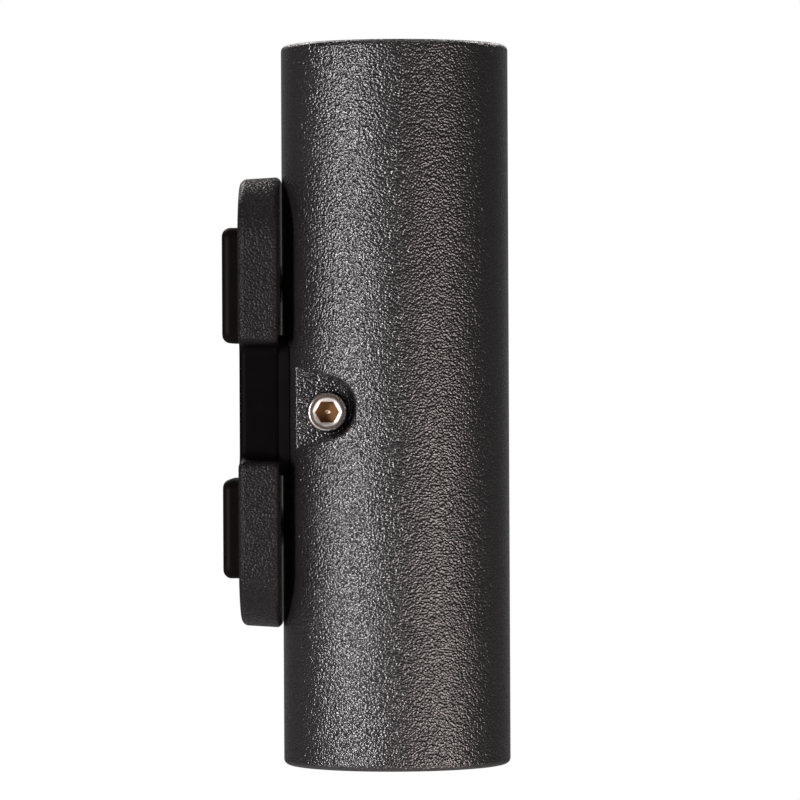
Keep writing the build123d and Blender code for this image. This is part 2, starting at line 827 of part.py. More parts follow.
save("upper_foot", foot(upper_foot_height, wall_screw_rise))
save("lower_foot", foot(lower_foot_height, -wall_screw_rise))
save("wall_base", wall_base())
save("cable_grommet", cable_grommet())
save("tongue_seal", tongue_seal())
save("base_earth_screw", base_earth_screw())

save("head_housing", head_housing())
save("bracket_screws", bracket_screws())
save("holder_screws", holder_screws())
save("head_earth_screw", head_earth_screw())
save("terminal_block", terminal_block())
save("terminal_screws", terminal_screws())
save("terminal_fixing_screws", terminal_fixing_screws())
save("earth_lead", earth_lead())
save("earth_tag", earth_tag())

save("right_side_screw", side_screw())
save("left_side_screw", mirror(side_screw(), about=Plane.YZ))
save("right_screw_seal", screw_seal())
save("left_screw_seal", mirror(screw_seal(), about=Plane.YZ))

end_pieces = {
    "glass": glass(),
    "gasket": gasket(),
    "ring": retaining_ring(),
    "bracket": holder_bracket(),
    "leads": lampholder_leads(),
}
for name, shape in end_pieces.items():
    for end, piece in both_ends(shape).items():
        save(f"{end}_{name}", piece)

bulb_pieces = {
    "lampholder": lampholder(),
    "bulb_body": bulb_body(),
    "bulb_lens": bulb_lens(),
    "bulb_pins": bulb_pins(),
}
for name, shape in bulb_pieces.items():
    save(f"upper_{name}", shape)
    save(f"lower_{name}", turned_over(shape))
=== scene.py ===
"""Outdoor wall lamp that shines up and down: looks, detailed pieces and studio.

The file is laid out as a Blender add-on and run as a script. Shapes are drawn in millimetres and become
metres where a piece is put in its place. Properties, materials and the studio are in metres.
"""

from math import atan2, ceil, cos, floor, hypot, pi, radians, sin

import bmesh
import bpy
from bpy.props import FloatProperty, FloatVectorProperty, IntProperty, PointerProperty
from mathutils import Matrix, Vector


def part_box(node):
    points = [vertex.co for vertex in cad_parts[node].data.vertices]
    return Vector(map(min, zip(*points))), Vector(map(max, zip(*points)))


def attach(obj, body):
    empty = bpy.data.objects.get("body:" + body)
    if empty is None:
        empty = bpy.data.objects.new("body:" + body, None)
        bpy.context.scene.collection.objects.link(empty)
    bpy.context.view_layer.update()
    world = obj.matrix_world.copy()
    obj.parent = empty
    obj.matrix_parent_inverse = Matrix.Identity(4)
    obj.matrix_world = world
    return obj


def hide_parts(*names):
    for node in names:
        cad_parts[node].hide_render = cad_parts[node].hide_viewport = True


bl_info = {
    "name": "Outdoor Wall Lamp",
    "version": (1, 0, 0),
    "blender": (4, 5, 0),
    "location": "View3D > Sidebar > Wall Lamp",
    "description": "Dresses the packed wall lamp with detailed pieces, finishes and a plain studio",
    "category": "Object",
}

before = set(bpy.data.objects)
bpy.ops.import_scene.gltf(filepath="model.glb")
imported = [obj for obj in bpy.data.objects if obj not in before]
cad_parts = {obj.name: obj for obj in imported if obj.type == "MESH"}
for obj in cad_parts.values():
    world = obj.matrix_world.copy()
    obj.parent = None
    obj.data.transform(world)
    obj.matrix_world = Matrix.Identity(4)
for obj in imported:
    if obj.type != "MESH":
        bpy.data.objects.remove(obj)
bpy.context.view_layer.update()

MM = 0.001
SHARP_ANGLE = radians(32)

# In millimetres: points that lie this close are one, and a pole starts as a ring this small.
MERGE_DISTANCE = 0.0005
POLE_RADIUS = 0.00001


def node_box(node):
    """A node's lowest and highest corners in millimetres."""
    return [[value / MM for value in corner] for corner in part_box(node)]


def node_centre(node):
    """The middle of a node's box in millimetres."""
    low, high = node_box(node)
    return [(a + b) / 2 for a, b in zip(low, high)]


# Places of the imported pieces, in millimetres. A side screw's heights are over the seal under its head.
ENDS = ("upper", "lower")
TUBE_Y = node_centre("upper_glass")[1]
TUBE_MIDDLE = Vector((0, TUBE_Y * MM, 0))
GLASS_LOW, GLASS_HIGH = node_box("upper_glass")
BULB_LOW, BULB_HIGH = node_box("upper_bulb_body")
LENS_LOW, LENS_HIGH = node_box("upper_bulb_lens")
SCREW_LOW, SCREW_HIGH = node_box("right_side_screw")
SCREW_Y, SCREW_Z = node_centre("right_side_screw")[1:]
SCREW_SEAT_X = node_box("right_screw_seal")[1][0]
SCREW_TIP = SCREW_LOW[0] - SCREW_SEAT_X
SCREW_TOP = SCREW_HIGH[0] - SCREW_SEAT_X
SCREW_HEAD_R = (SCREW_HIGH[1] - SCREW_LOW[1]) / 2

# Details that a shape and its finish share, in millimetres.
SCREW_GROOVE_R = SCREW_HEAD_R - 0.85
SOURCE_R = 5.1
LENS_PLAY = 0.02

# The base's smooth waist, painted near-black partly for the shade in its recess, in millimetres: its
# middle, and the way from there to the first and full coat.
WAIST_MIDDLE = 0.8
COAT_STARTS = 14.4
COAT_COVERS = 17.6

# Stage: sizes in metres, and colours with their alpha.
FLOOR_HEIGHT = -0.55
FLOOR_RADIUS = 5
FLOOR_GREY = (0.7, 0.7, 0.7, 1)
WHITE = (1, 1, 1, 1)

# Camera: widths of film and picture, the aim's shift in pixels of the picture, and its tilt and lean.
FILM_WIDTH = 36
PICTURE_WIDTH = 800
AIM_SHIFT_Y = -4.25
AIM_SHIFT_Z = 4.7
CAMERA_TILT = radians(0.335)
CAMERA_LEAN = radians(-0.27)


# Properties


class WallLampFinish(bpy.types.PropertyGroup):
    """Colours and textures of the lamp's materials."""

    coat_colour: FloatVectorProperty(
        name="Coat colour",
        description="Colour of the wrinkled powder coat",
        subtype="COLOR",
        size=3,
        min=0,
        max=1,
        default=(0.021, 0.0195, 0.0205),
    )
    coat_grain: FloatProperty(
        name="Coat grain",
        description="Distance between two wrinkles of the powder coat",
        default=0.00062,
        unit="LENGTH",
        precision=5,
    )
    coat_height: FloatProperty(
        name="Coat height",
        description="Height of the powder coat's wrinkles",
        default=0.00018,
        unit="LENGTH",
        precision=5,
    )
    rubber_colour: FloatVectorProperty(
        name="Rubber colour",
        description="Colour of the two feet",
        subtype="COLOR",
        size=3,
        min=0,
        max=1,
        default=(0.0050, 0.0033, 0.0028),
    )
    steel_colour: FloatVectorProperty(
        name="Steel colour",
        description="Colour of the bright side screws",
        subtype="COLOR",
        size=3,
        min=0,
        max=1,
        default=(0.84, 0.77, 0.73),
    )
    # Brown inside a screw's hexagon and groove: painted shade and a painted warm reflection.
    socket_shade_colour: FloatVectorProperty(
        name="Socket colour",
        description="Colour of the oily steel inside a screw's hexagon",
        subtype="COLOR",
        size=3,
        min=0,
        max=1,
        default=(0.42, 0.24, 0.11),
    )


class WallLampScrew(bpy.types.PropertyGroup):
    """Sizes of the two side screws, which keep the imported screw's outline."""

    thread_pitch: FloatProperty(
        name="Thread pitch",
        description="Height of one turn of the thread",
        default=0.001,
        unit="LENGTH",
        precision=5,
    )
    thread_depth: FloatProperty(
        name="Thread depth",
        description="Depth of the thread's groove",
        default=0.0005,
        unit="LENGTH",
        precision=5,
    )
    hexagon: FloatProperty(
        name="Hexagon",
        description="Width of the socket across its flats",
        default=0.005,
        unit="LENGTH",
        precision=5,
    )
    scallop: FloatProperty(
        name="Scallop",
        description="Depth of the bevel's scallops",
        default=0.0003,
        unit="LENGTH",
        precision=5,
    )
    countersink: FloatProperty(
        name="Countersink",
        description="Diameter of the bevel round the socket",
        default=0.0073,
        unit="LENGTH",
        precision=5,
    )


class WallLampBulb(bpy.types.PropertyGroup):
    """Detail of the two bulbs."""

    rib_count: IntProperty(
        name="Ribs",
        description="Cooling ribs round the body",
        default=28,
        min=6,
        max=60,
    )
    rib_depth: FloatProperty(
        name="Rib depth",
        description="Depth of the grooves between ribs",
        default=0.0011,
        unit="LENGTH",
        precision=5,
    )
    lens_rings: IntProperty(
        name="Lens rings",
        description="Ripples in the lens",
        default=9,
        min=3,
        max=20,
    )


class WallLampStudio(bpy.types.PropertyGroup):
    """Camera and light."""

    lens: FloatProperty(
        name="Lens",
        description="Focal length",
        default=222.5,
        subtype="DISTANCE_CAMERA",
    )
    distance: FloatProperty(
        name="Distance",
        description="From the camera to the tube's axis",
        default=1.31,
        unit="LENGTH",
    )
    azimuth: FloatProperty(
        name="Azimuth",
        description="Side from which the camera looks",
        default=radians(271.5),
        subtype="ANGLE",
    )
    wall_side_light: FloatProperty(
        name="Wall-side light",
        description="Power of the softbox on the wall's side",
        default=11.6,
        unit="POWER",
    )
    front_light: FloatProperty(
        name="Front light",
        description="Power of the softbox in front of the lamp",
        default=4.6,
        unit="POWER",
    )
    far_light: FloatProperty(
        name="Far lights",
        description="Power of each softbox on the far side",
        default=4.5,
        unit="POWER",
    )
    overhead_light: FloatProperty(
        name="Overhead light",
        description="Power of the softbox overhead",
        default=1.6,
        unit="POWER",
    )
    ambient: FloatProperty(
        name="Ambient",
        description="Strength of the light from all round",
        default=0.075,
        min=0,
    )
    reflected: FloatProperty(
        name="Reflected background",
        description="Strength of the white background in reflections",
        default=0.2,
        min=0,
    )


# Shader maths


class Socket:
    """A node's output whose arithmetic adds Math nodes."""

    def __init__(self, tree, socket):
        self.tree = tree
        self.socket = socket

    def maths(self, operation, *values):
        """The result of a Math node."""
        settings = {"operation": operation}
        return add_node(self.tree, "ShaderNodeMath", settings, dict(enumerate(values)))

    def __add__(self, other):
        return self.maths("ADD", self, other)

    __radd__ = __add__

    def __sub__(self, other):
        return self.maths("SUBTRACT", self, other)

    def __rsub__(self, other):
        return self.maths("SUBTRACT", other, self)

    def __mul__(self, other):
        return self.maths("MULTIPLY", self, other)

    __rmul__ = __mul__

    def __abs__(self):
        return self.maths("ABSOLUTE", self)

    def highest(self, other):
        """The higher of two values."""
        return self.maths("MAXIMUM", self, other)

    def step(self, start, end):
        """A smooth step from 0 at the start to 1 at the end."""
        settings = {"interpolation_type": "SMOOTHSTEP"}
        return add_node(self.tree, "ShaderNodeMapRange", settings, {0: self, 1: start, 2: end})


def add_node(tree, kind, settings=None, inputs=None, output=0):
    """Add a node, set it, fill its sockets with values or links, and give one of its outputs."""
    node = tree.nodes.new(kind)
    for name, value in (settings or {}).items():
        setattr(node, name, value)
    for name, value in (inputs or {}).items():
        if isinstance(value, Socket):
            tree.links.new(value.socket, node.inputs[name])
        else:
            node.inputs[name].default_value = value
    return Socket(tree, node.outputs[output]) if node.outputs else None


def blank_material(name):
    """A material with an empty node tree."""
    material = bpy.data.materials.new(name)
    material.use_nodes = True
    material.node_tree.nodes.clear()
    return material, material.node_tree


def position(tree):
    """The place on the object, in metres."""
    return add_node(tree, "ShaderNodeTexCoord", output="Object")


def noise(tree, size, detail=2.0, roughness=0.5, distortion=0.0):
    """Noise whose blobs are about a size apart."""
    inputs = {
        "Vector": position(tree),
        "Scale": 1 / size,
        "Detail": detail,
        "Roughness": roughness,
        "Distortion": distortion,
    }
    return add_node(tree, "ShaderNodeTexNoise", None, inputs)


def rgba(colour):
    """A colour with its alpha."""
    return (*colour, 1)


def tinted(colour, factor):
    """A colour made darker or lighter."""
    return [value * factor for value in colour]


def mix_colours(tree, factor, first, second):
    """A colour between two others. The colour sockets of a Mix node go by their numbers."""
    inputs = {0: factor, 6: rgba(first), 7: rgba(second)}
    return add_node(tree, "ShaderNodeMix", {"data_type": "RGBA"}, inputs, 2)


def mix_shaders(tree, factor, first, second):
    """A shader between two others."""
    return add_node(tree, "ShaderNodeMixShader", None, {0: factor, 1: first, 2: second})


def bump(tree, height, distance):
    """A normal bent by a height, which is a share of the distance."""
    return add_node(tree, "ShaderNodeBump", None, {"Distance": distance, "Height": height})


def principled(tree, inputs):
    """A principled shader."""
    return add_node(tree, "ShaderNodeBsdfPrincipled", None, inputs)


def end_in(tree, shader):
    """End a material in a shader."""
    add_node(tree, "ShaderNodeOutputMaterial", None, {"Surface": shader})


# Finishes


def coat_height(tree, grain):
    """Height of the powder coat, from 0 in its valleys to about 1 on its wrinkles."""
    valley_depth = 1.9
    cell_share = 0.65
    inputs = {"Vector": position(tree), "Scale": 1 / grain, "Smoothness": 0.25}
    cells = add_node(tree, "ShaderNodeTexVoronoi", {"feature": "SMOOTH_F1"}, inputs)
    worms = noise(tree, size=grain * 0.9, detail=1.0, distortion=0.4)
    return (1 - cells * cells * valley_depth) * cell_share + worms * (1 - cell_share)


def coat_shader(tree, finish, gloss):
    """Coarse wrinkled powder coat, with painted shade in its valleys and painted light on its wrinkles.
    """
    height = coat_height(tree, finish.coat_grain)
    # Painted shade in the valleys and painted light on the wrinkles: a darker and a lighter copy of the
    # coat colour.
    shaded_valley = tinted(finish.coat_colour, factor=0.7)
    lit_peak = tinted(finish.coat_colour, factor=1.3)
    inputs = {
        "Base Color": mix_colours(tree, height.step(start=0.45, end=1.0), shaded_valley, lit_peak),
        "Roughness": 0.2 + noise(tree, size=0.012, detail=3.0) * 0.1,
        "Specular IOR Level": gloss,
        "IOR": 1.55,
        "Normal": bump(tree, height, finish.coat_height),
    }
    return principled(tree, inputs)


def tube_coat(finish):
    """Glossy wrinkled coat of the tube."""
    material, tree = blank_material("wrinkled_coat")
    end_in(tree, coat_shader(tree, finish, gloss=0.9))
    return material


def base_coat(finish):
    """Duller wrinkled coat of the wall base, round a smooth waist whose near-black colour is partly
    painted shade of its recess.
    """
    material, tree = blank_material("wrinkled_coat_with_shaded_waist")
    waist_blotch = noise(tree, size=0.004, detail=3.0)
    # The waist is smooth and dark, and its near-black colour also paints the shade in the recess between
    # the blocks.
    smooth = {
        "Base Color": mix_colours(tree, waist_blotch, (0.0016, 0.0011, 0.0012), (0.0028, 0.0022, 0.0023)),
        "Roughness": 0.5 + waist_blotch * 0.1,
        "Specular IOR Level": 0.04,
    }
    height = add_node(tree, "ShaderNodeSeparateXYZ", None, {0: position(tree)}, "Z")
    coated = abs(height - WAIST_MIDDLE * MM).step(COAT_STARTS * MM, COAT_COVERS * MM)
    coat = coat_shader(tree, finish, gloss=0.12)
    end_in(tree, mix_shaders(tree, coated, principled(tree, smooth), coat))
    return material


def soft_surface(name, colour, roughness, grain, relief, spread=0.15, specular=0.5):
    """A plain moulded or rubber surface with a fine grain and slight blotches."""
    material, tree = blank_material(name)
    blotch_size = grain * 14
    blotch = noise(tree, blotch_size, detail=3.0)
    fine = noise(tree, grain, detail=3.0, roughness=0.6)
    darker = tinted(colour, 1 - spread)
    lighter = tinted(colour, 1 + spread)
    inputs = {
        "Base Color": mix_colours(tree, blotch, darker, lighter),
        "Roughness": roughness - 0.05 + blotch * 0.1,
        "Specular IOR Level": specular,
        "Normal": bump(tree, fine, relief),
    }
    end_in(tree, principled(tree, inputs))
    return material


def metal_surface(
    name,
    colour,
    roughness,
    streak=0.00025,
    relief=0.000004,
    blotch_size=0.004,
    tarnish=None,
):
    """Bare or plated metal with fine tool marks and slight tarnish."""
    material, tree = blank_material(name)
    blotch = noise(tree, blotch_size, detail=4.0, roughness=0.6)
    marks = noise(tree, streak, roughness=0.6)
    dull = tarnish or tinted(colour, factor=0.82)
    inputs = {
        "Base Color": mix_colours(tree, blotch.step(start=0.4, end=0.75), colour, dull),
        "Metallic": 1.0,
        "Roughness": roughness + blotch * 0.12,
        "Normal": bump(tree, marks, relief),
    }
    end_in(tree, principled(tree, inputs))
    return material


def turned_steel(colour, roughness):
    """Bright steel with rings from the lathe round the side screws' axis."""
    material, tree = blank_material("turned_steel")
    centre = {"Vector": position(tree), "Location": (0, -SCREW_Y * MM, -SCREW_Z * MM)}
    lathe = {
        "Vector": add_node(tree, "ShaderNodeMapping", {"vector_type": "POINT"}, centre),
        "Scale": 900.0,
        "Distortion": 1.2,
        "Detail": 2.0,
        "Detail Scale": 1.5,
    }
    settings = {"wave_type": "RINGS", "rings_direction": "X", "wave_profile": "SIN"}
    rings = add_node(tree, "ShaderNodeTexWave", settings, lathe, "Fac")
    scratches = noise(tree, size=0.0006, detail=3.0)
    smudge = noise(tree, size=0.0022, detail=4.0, roughness=0.6)
    dull = tinted(colour, factor=0.78)
    inputs = {
        "Base Color": mix_colours(tree, smudge.step(start=0.45, end=0.8), colour, dull),
        "Metallic": 1.0,
        "Roughness": roughness + smudge * 0.14,
        "Normal": bump(tree, rings * 0.6 + scratches * 0.6, distance=0.000012),
    }
    end_in(tree, principled(tree, inputs))
    return material


def glass_surface(name, colour, alpha, roughness):
    """Clear glass or plastic, see-through by its alpha so that light passes straight."""
    material, tree = blank_material(name)
    smudge = noise(tree, size=0.009, detail=4.0, roughness=0.6)
    edge = add_node(tree, "ShaderNodeFresnel", None, {"IOR": 1.45})
    inputs = {
        "Base Color": rgba(colour),
        "Roughness": roughness + smudge * 0.05,
        "Specular IOR Level": 0.9,
        "Alpha": alpha + edge * 0.5,
    }
    end_in(tree, principled(tree, inputs))
    return material


def earth_sleeve():
    """Green sleeve with yellow stripes."""
    material, tree = blank_material("earth_sleeve")
    settings = {"wave_type": "BANDS", "bands_direction": "DIAGONAL"}
    bands = {"Vector": position(tree), "Scale": 160.0, "Distortion": 0.0}
    wave = add_node(tree, "ShaderNodeTexWave", settings, bands, "Fac")
    stripe = wave.step(start=0.45, end=0.55)
    inputs = {
        "Base Color": mix_colours(tree, stripe, (0.09, 0.28, 0.05), (0.72, 0.62, 0.04)),
        "Roughness": 0.45,
        "Normal": bump(tree, noise(tree, size=0.0005), distance=0.00001),
    }
    end_in(tree, principled(tree, inputs))
    return material


def phosphor():
    """The yellow face of a bulb's light source."""
    material, tree = blank_material("bulb_phosphor")
    grain = noise(tree, size=0.0003, detail=3.0)
    inputs = {
        "Base Color": mix_colours(tree, grain, (0.72, 0.50, 0.08), (0.86, 0.66, 0.16)),
        "Roughness": 0.6,
        "Normal": bump(tree, grain, distance=0.00002),
    }
    end_in(tree, principled(tree, inputs))
    return material


def dress(finish, *nodes):
    """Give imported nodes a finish."""
    for node in nodes:
        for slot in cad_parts[node].material_slots:
            slot.material = finish


# Shapes


def shares(steps, first=0):
    """Even shares of a way, up to 1, from a first step on."""
    return [n / steps for n in range(first, steps + 1)]


def between(start, end, share):
    """A value at a share of the way from a start to an end."""
    return start + (end - start) * share


def flattened(wave, slope):
    """A wave between 0 and 1 with steeper flanks, and so with flat tops and bottoms."""
    return min(max(slope * (wave - 0.5) + 0.5, 0), 1)


def quarter_round(radius, height, size, steps):
    """The points of a quarter round from the side of a rod to its end."""
    points = []
    for share in shares(steps):
        angle = share * pi / 2
        points.append((radius - size * (1 - cos(angle)), height - size * (1 - sin(angle))))
    return points


def turned_shape(rings, segments):
    """A shape turned about Z from radii and heights, each a number or a function of the angle."""
    shape = bmesh.new()
    bmesh.ops.create_circle(shape, cap_ends=False, segments=segments, radius=1)
    circle, edges = list(shape.verts), list(shape.edges)
    for number, (radius, height) in enumerate(rings):
        if number:
            made = bmesh.ops.extrude_edge_only(shape, edges=edges)["geom"]
            circle = [item for item in made if isinstance(item, bmesh.types.BMVert)]
            edges = [item for item in made if isinstance(item, bmesh.types.BMEdge)]
        for vert in circle:
            angle = atan2(vert.co.y, vert.co.x)
            far = max(radius(angle) if callable(radius) else radius, POLE_RADIUS)
            up = height(angle) if callable(height) else height
            vert.co = (far * cos(angle), far * sin(angle), up)
    bmesh.ops.remove_doubles(shape, verts=shape.verts, dist=MERGE_DISTANCE)
    bmesh.ops.dissolve_degenerate(shape, dist=MERGE_DISTANCE / 10, edges=shape.edges)
    bmesh.ops.recalc_face_normals(shape, faces=shape.faces)
    return shape


def add_piece(name, shape, placing, finishes, body, node):
    """Put a shape in its place as a piece that rides on a body and stands for a node."""
    bmesh.ops.transform(shape, matrix=Matrix.Scale(MM, 4) @ placing, verts=shape.verts)
    mesh = bpy.data.meshes.new(name)
    shape.to_mesh(mesh)
    shape.free()
    for finish in finishes:
        mesh.materials.append(finish)
    mesh.shade_smooth()
    mesh.set_sharp_from_angle(angle=SHARP_ANGLE)
    piece = bpy.data.objects.new(name, mesh)
    bpy.context.scene.collection.objects.link(piece)
    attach(piece, body)
    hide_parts(node)


def upward(end):
    """The placing of a piece on the tube's axis, drawn for the upper end."""
    centre = Matrix.Translation((0, TUBE_Y, 0))
    return centre if end == "upper" else centre @ Matrix.Rotation(pi, 4, "X")


def sideward(side):
    """The placing of a side screw, drawn about Z with the underside of its head at 0."""
    seat = Matrix.Translation((SCREW_SEAT_X, SCREW_Y, SCREW_Z)) @ Matrix.Rotation(pi / 2, 4, "Y")
    if side == "right":
        return seat
    about = Matrix.Translation((0, SCREW_Y, 0))
    return about @ Matrix.Rotation(pi, 4, "Z") @ about.inverted() @ seat


def thread_radius(height, outer, depth, pitch):
    """The radius of a right-hand thread at a height, as a function of the angle."""

    def radius(angle):
        turn = height / pitch - angle / (2 * pi)
        wave = abs(2 * (turn - floor(turn)) - 1)
        return outer - depth * flattened(wave, slope=1.5)

    return radius


def side_screw_shape(screw):
    """A socket-head screw about Z, with the underside of its head at 0 and its head above."""
    pitch = screw.thread_pitch / MM
    depth = screw.thread_depth / MM
    shank_r = 3.0
    root_r = shank_r - depth
    neck_r = shank_r - 0.1
    thread_start = SCREW_TIP + 0.5
    thread_end = -0.5
    steps_a_turn = 8
    thread_runout = 0.1
    foot_bevel = 0.25
    head_round = 0.7
    groove = ((0.08, 0.0), (0.0, 0.2), (-0.1, 0.02))
    sink_r = screw.countersink / MM / 2
    sink_edge = 0.06
    sink_drop = 0.02
    flat = screw.hexagon / MM / 2
    mouth = 1.1
    mouth_wave = 0.3
    mouth_depth = 0.3
    mouth_height = SCREW_TOP - 0.3
    floor_height = SCREW_TOP - 3.2
    drill_pit = ((0.85, 0.0), (0.75, 0.1), (0.5, 0.2), (0.0, 0.3))

    def hexagon(angle):
        sixth = pi / 3
        return flat / cos((angle + sixth / 2) % sixth - sixth / 2)

    def hexagon_mouth(angle):
        return hexagon(angle) * mouth

    def mouth_rim(angle):
        return mouth_height + (hexagon_mouth(angle) - flat * mouth) * mouth_wave

    def sink(angle):
        return sink_r - screw.scallop / MM * (0.5 + 0.5 * cos(6 * angle))

    rings = [(0, SCREW_TIP), (root_r, SCREW_TIP)]
    thread_steps = ceil((thread_end - thread_start) / (pitch / steps_a_turn))
    for share in shares(thread_steps):
        height = between(thread_start, thread_end, share)
        rings.append((thread_radius(height, shank_r, depth, pitch), height))
    rings += [(root_r, thread_end + thread_runout), (neck_r, 0)]
    rings += [(SCREW_HEAD_R - foot_bevel, 0), (SCREW_HEAD_R, foot_bevel)]
    rings += quarter_round(SCREW_HEAD_R, SCREW_TOP, head_round, steps=8)
    rings += [(SCREW_GROOVE_R + out, SCREW_TOP - drop) for out, drop in groove]
    rings += [(sink_r + sink_edge, SCREW_TOP - sink_drop), (sink, SCREW_TOP - sink_edge)]
    rings += [(hexagon_mouth, mouth_rim), (hexagon, mouth_height - mouth_depth)]
    rings.append((hexagon, floor_height))
    rings += [(radius, floor_height - drop) for radius, drop in drill_pit]
    return turned_shape(rings, segments=72)


def mark_side_screw(shape):
    """Give a side screw's groove and socket its second finish, a brown steel that paints their shade and
    a warm reflection, and the face round them its third, a paler steel.
    """
    groove_reach = 0.1
    groove_bottom = SCREW_TOP - 0.3
    pit_r = 0.5
    socket_reach = 3.2
    socket_top = SCREW_TOP - 0.35
    bevel_reach = 3.7
    inside_head = 1.0
    for face in shape.faces:
        middle = face.calc_center_median()
        far = hypot(middle.x, middle.y)
        in_groove = abs(far - SCREW_GROOVE_R) < groove_reach and middle.z > groove_bottom
        in_socket = pit_r < far < socket_reach and inside_head < middle.z < socket_top
        if in_groove or in_socket:
            face.material_index = 1
        elif far < bevel_reach and middle.z > inside_head:
            face.material_index = 2


def bulb_body_shape(bulb):
    """A bulb's body about Z: cap, ribbed cone, rim, dish and light source."""
    bottom, top = BULB_LOW[2], BULB_HIGH[2]
    cap_r = 14.0
    cap_top = bottom + 9.0
    cap_edge = 0.3
    cap_foot = ((2.2, 0.0), (1.6, 0.3), (0.3, 1.2), (0.0, 1.8))
    neck_r = 16.0
    neck_edge = 0.5
    ribs_start = cap_top + 1.0
    rib_fade = 5
    segments_a_rib = 8
    cone_top = top - 7.0
    rim_r = (BULB_HIGH[0] - BULB_LOW[0]) / 2
    rim_round = 0.6
    rim_groove = ((0.5, 0.2), (0.5, 0.8), (0.0, 1.2))
    lens_r = LENS_HIGH[0] + LENS_PLAY
    lens_bevel = 0.3
    seat = LENS_LOW[2] - LENS_PLAY
    dish_r = lens_r - 1.4
    dish_floor_r = 7.5
    dish_floor = LENS_LOW[2] - 9.0
    dish_bend = 0.9
    source_top = dish_floor + 0.6
    source_draft = 0.15

    def ribbed(radius, depth):
        def radius_at(angle):
            wave = 0.5 + 0.5 * cos(bulb.rib_count * angle)
            return radius - depth * flattened(wave, slope=2.4)

        return radius_at

    rings = [(0, bottom)]
    rings += [(cap_r - inset, bottom + up) for inset, up in cap_foot]
    rings += [(cap_r, cap_top - 2 * cap_edge), (cap_r - cap_edge, cap_top - cap_edge)]
    rings += [(cap_r - cap_edge, cap_top), (neck_r - neck_edge, cap_top)]
    rings.append((neck_r, cap_top + neck_edge))
    for share in shares(steps=10):
        height = between(ribs_start, cone_top, share)
        radius = between(neck_r, rim_r, (height - cap_top) / (cone_top - cap_top))
        fade = min(1, rib_fade * share, rib_fade * (1 - share))
        rings.append((ribbed(radius, bulb.rib_depth / MM * fade), height))
    rings += [(rim_r - inset, cone_top + up) for inset, up in rim_groove]
    rings += quarter_round(rim_r, top, rim_round, steps=4)
    rings += [(lens_r + lens_bevel, top), (lens_r, top - lens_bevel), (lens_r, seat)]
    rings.append((dish_r, seat))
    for share in shares(steps=6, first=1):
        height = between(seat, dish_floor, share**dish_bend)
        rings.append((between(dish_r, dish_floor_r, share), height))
    rings += [(SOURCE_R, dish_floor), (SOURCE_R - source_draft, source_top), (0, source_top)]
    return turned_shape(rings, segments=bulb.rib_count * segments_a_rib)


def mark_source(shape):
    """Give the top of a bulb's light source the bulb's second finish."""
    over_cap = BULB_LOW[2] + 5
    source_reach = SOURCE_R - 0.2
    for face in shape.faces:
        middle = face.calc_center_median()
        lit = hypot(middle.x, middle.y) < source_reach and middle.z > over_cap
        face.material_index = int(lit)


def lens_shape(bulb):
    """A rippled lens about Z with a domed middle."""
    radius = LENS_HIGH[0] - LENS_PLAY
    low, high = LENS_LOW[2], LENS_HIGH[2]
    edge = 0.3
    rim_width = 1.6
    ripple_start = radius - 2.0
    ripple_top = high - 0.25
    ripple_depth = 0.35
    steps_a_ripple = 6
    dome_r = 5.5
    dome_height = 0.6
    rings = [(0, low), (radius, low), (radius, high - edge), (radius - edge, high)]
    rings.append((radius - rim_width, high))
    for share in shares(bulb.lens_rings * steps_a_ripple):
        drop = ripple_depth * (0.5 - 0.5 * cos(2 * pi * bulb.lens_rings * share))
        rings.append((between(ripple_start, dome_r, share), ripple_top - drop))
    for share in shares(steps=6, first=1):
        angle = share * pi / 2
        rings.append((dome_r * cos(angle), high - dome_height * (1 - sin(angle))))
    return turned_shape(rings, segments=96)


def glass_shape():
    """A flat disc about Z with ground edges."""
    radius = (GLASS_HIGH[0] - GLASS_LOW[0]) / 2
    low, high = GLASS_LOW[2], GLASS_HIGH[2]
    ground = 0.4
    rings = [(0, low), (radius - ground, low), (radius, low + ground), (radius, high - ground)]
    rings += [(radius - ground, high), (0, high)]
    return turned_shape(rings, segments=128)


# Studio


def background_seen(tree, reflected):
    """1 for rays that see the background, straight or through glass, and less for reflected ones."""
    straight = add_node(tree, "ShaderNodeLightPath", output="Is Camera Ray")
    through = add_node(tree, "ShaderNodeLightPath", output="Is Transmission Ray")
    glossy = add_node(tree, "ShaderNodeLightPath", output="Is Glossy Ray")
    return straight.highest(through).highest(glossy * reflected)


def floor_material(studio):
    """White to the camera, with a faint shadow near the lamp, and pale grey to the light."""
    material, tree = blank_material("pale_floor")
    near_white = 0.86
    seen = background_seen(tree, studio.reflected)
    length = {"operation": "LENGTH"}
    away = add_node(tree, "ShaderNodeVectorMath", length, {0: position(tree)}, "Value")
    white = seen * (near_white + away.step(start=0.6, end=1.6) * (1 - near_white))
    diffuse = add_node(tree, "ShaderNodeBsdfDiffuse", None, {"Color": FLOOR_GREY})
    glow = add_node(tree, "ShaderNodeEmission", None, {"Color": WHITE, "Strength": seen})
    end_in(tree, mix_shaders(tree, white, diffuse, glow))
    return material


def add_floor(studio):
    """A round floor under the lamp."""
    shape = bmesh.new()
    bmesh.ops.create_circle(shape, cap_ends=True, segments=96, radius=FLOOR_RADIUS)
    bmesh.ops.translate(shape, vec=(0, TUBE_Y * MM, FLOOR_HEIGHT), verts=shape.verts)
    mesh = bpy.data.meshes.new("floor")
    shape.to_mesh(mesh)
    shape.free()
    mesh.materials.append(floor_material(studio))
    floor_piece = bpy.data.objects.new("floor", mesh)
    bpy.context.scene.collection.objects.link(floor_piece)


